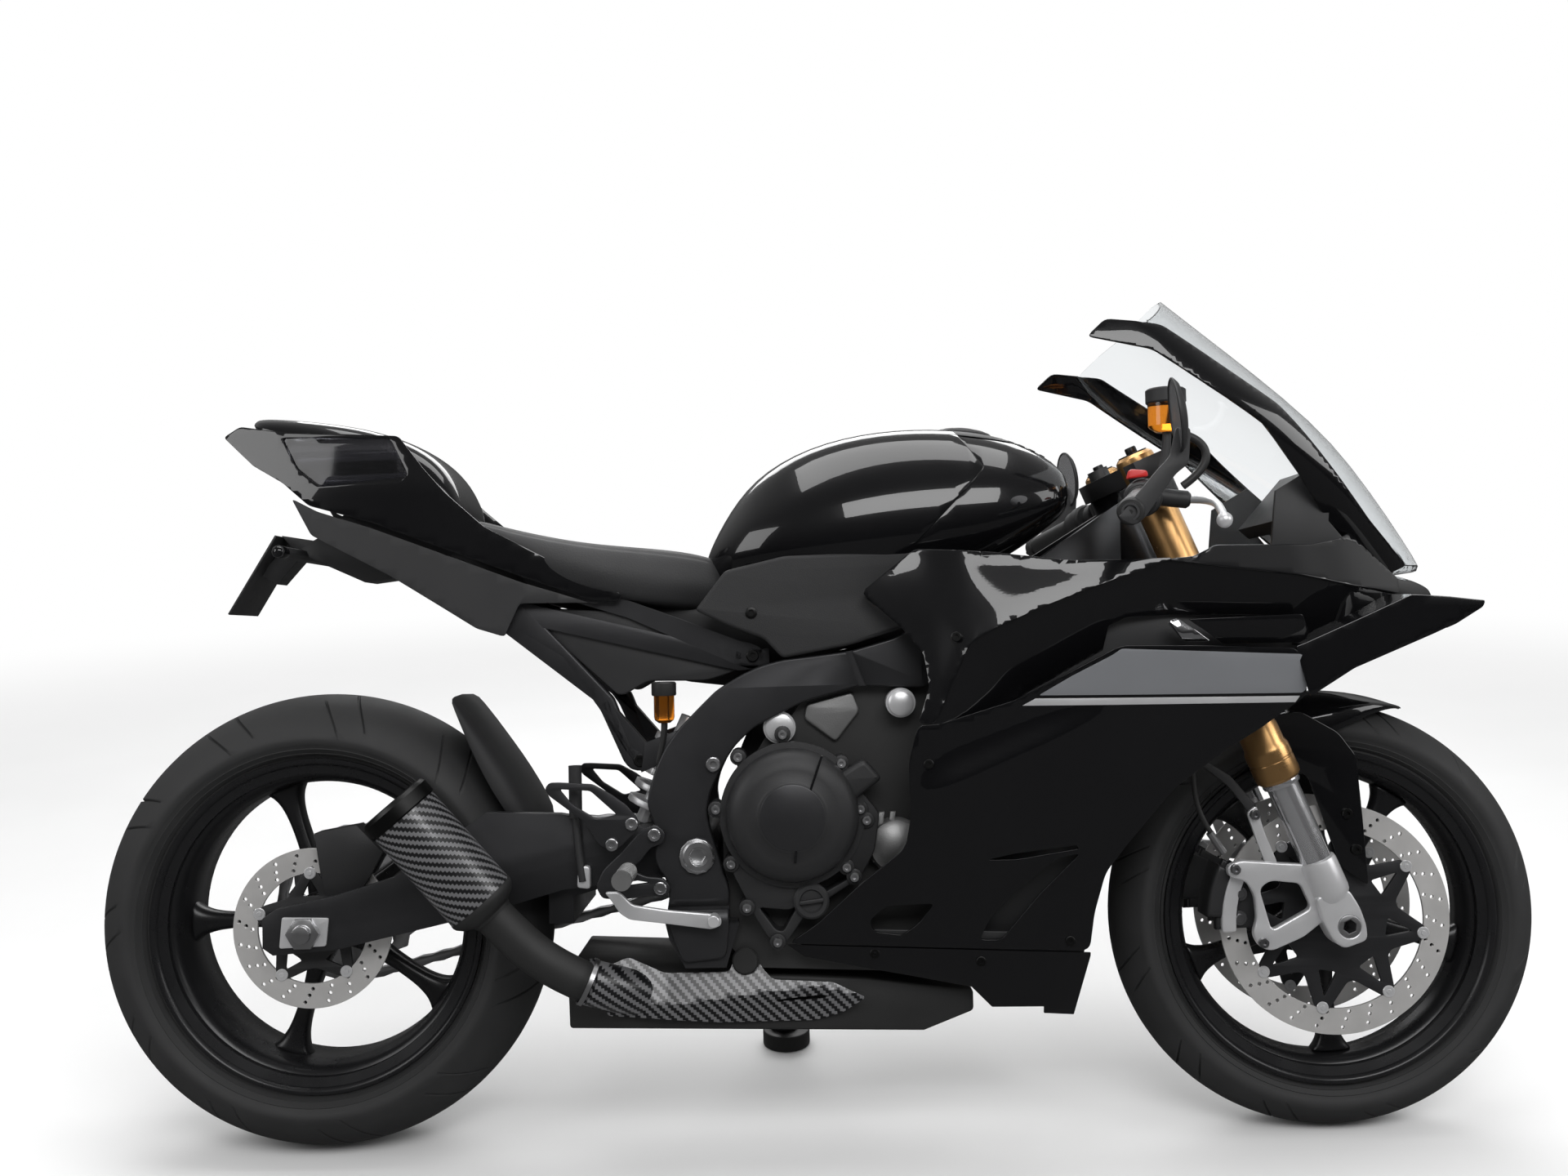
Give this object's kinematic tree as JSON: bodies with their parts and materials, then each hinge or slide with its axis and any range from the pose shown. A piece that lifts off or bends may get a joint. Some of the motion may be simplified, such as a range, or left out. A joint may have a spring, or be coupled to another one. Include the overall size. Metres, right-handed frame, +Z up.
{
  "type": "sport motorcycle",
  "caption": "Fully faired sport motorcycle with turning wheels, steering and a folding side stand, parked leaning on the stand.",
  "frame": {"origin": "on the floor, under the centre of the bounding box, the motorcycle leaning on its side stand", "axes": "+X forward along the motorcycle, +Y to its left, +Z up from the floor"},
  "size_m": [2.04, 0.7785, 1.1676],
  "materials": {
    "gloss_black": "gloss black paint",
    "matte_black": "matte black moulded plastic",
    "satin_frame": "satin anthracite paint",
    "engine_black": "matte black engine paint",
    "tyre_rubber": "tyre rubber",
    "rubber": "rubber",
    "steel": "bare steel",
    "gold": "gold anodised",
    "silver": "satin silver",
    "carbon": "carbon fibre under clear coat",
    "clear": "clear moulded screen",
    "seat_cover": "textured seat cover"
  },
  "bodies": {
    "chassis": {"main_frame": "satin_frame", "rear_frame": "satin_frame", "side_covers": "matte_black", "engine_block": "engine_black", "engine_covers": "engine_black", "radiator": "matte_black", "swingarm": "satin_frame", "rear_axle": "steel", "shock": "silver", "hugger": "matte_black", "rear_caliper": "engine_black", "chain": "steel", "exhaust_headers": "steel", "muffler_box": "matte_black", "silencer": "carbon", "heat_shield": "carbon", "fuel_tank": "gloss_black", "tank_cover": "matte_black", "knee_panels": "matte_black", "seat": "seat_cover", "seat_cowl": "gloss_black", "tail_panels": "gloss_black", "plate_holder": "matte_black", "footrests": "matte_black", "fairing_sides": "gloss_black", "belly_pan": "gloss_black", "nose_cowl": "gloss_black", "windscreen": "clear", "dashboard": "matte_black", "stand_pad": "rubber"},
    "steering": {"fork_legs": "gold", "fork_bottoms": "silver", "fork_yokes": "matte_black", "handlebars": "matte_black", "hand_controls": "silver", "front_calipers": "silver", "front_fender": "gloss_black"},
    "front_wheel": {"front_rim": "gloss_black", "front_tyre": "tyre_rubber", "front_discs": "steel"},
    "rear_wheel": {"rear_rim": "gloss_black", "rear_tyre": "tyre_rubber", "rear_disc": "steel", "rear_sprocket": "steel"},
    "side_stand": {"side_stand": "satin_frame"}
  },
  "joints": [
    {"name": "steering_turn", "type": "hinge", "parent": "chassis", "child": "steering", "pos_m": [0.69368, -0.10628, 0.28549], "axis": [-0.3843, 0.1444, 0.9118], "range_deg": [-27, 27]},
    {"name": "front_wheel_spin", "type": "hinge", "parent": "steering", "child": "front_wheel", "pos_m": [0.72, -0.10457, 0.29631], "axis": [0, 0.9877, -0.1564], "continuous": true},
    {"name": "rear_wheel_spin", "type": "hinge", "parent": "chassis", "child": "rear_wheel", "pos_m": [-0.7, -0.10144, 0.31606], "axis": [0, 0.9877, -0.1564], "continuous": true},
    {"name": "side_stand_fold", "type": "hinge", "parent": "chassis", "child": "side_stand", "pos_m": [-0.071, 0.03676, 0.21473], "axis": [0.2201, 0.8394, 0.497], "range_deg": [0, 100]}
  ]
}
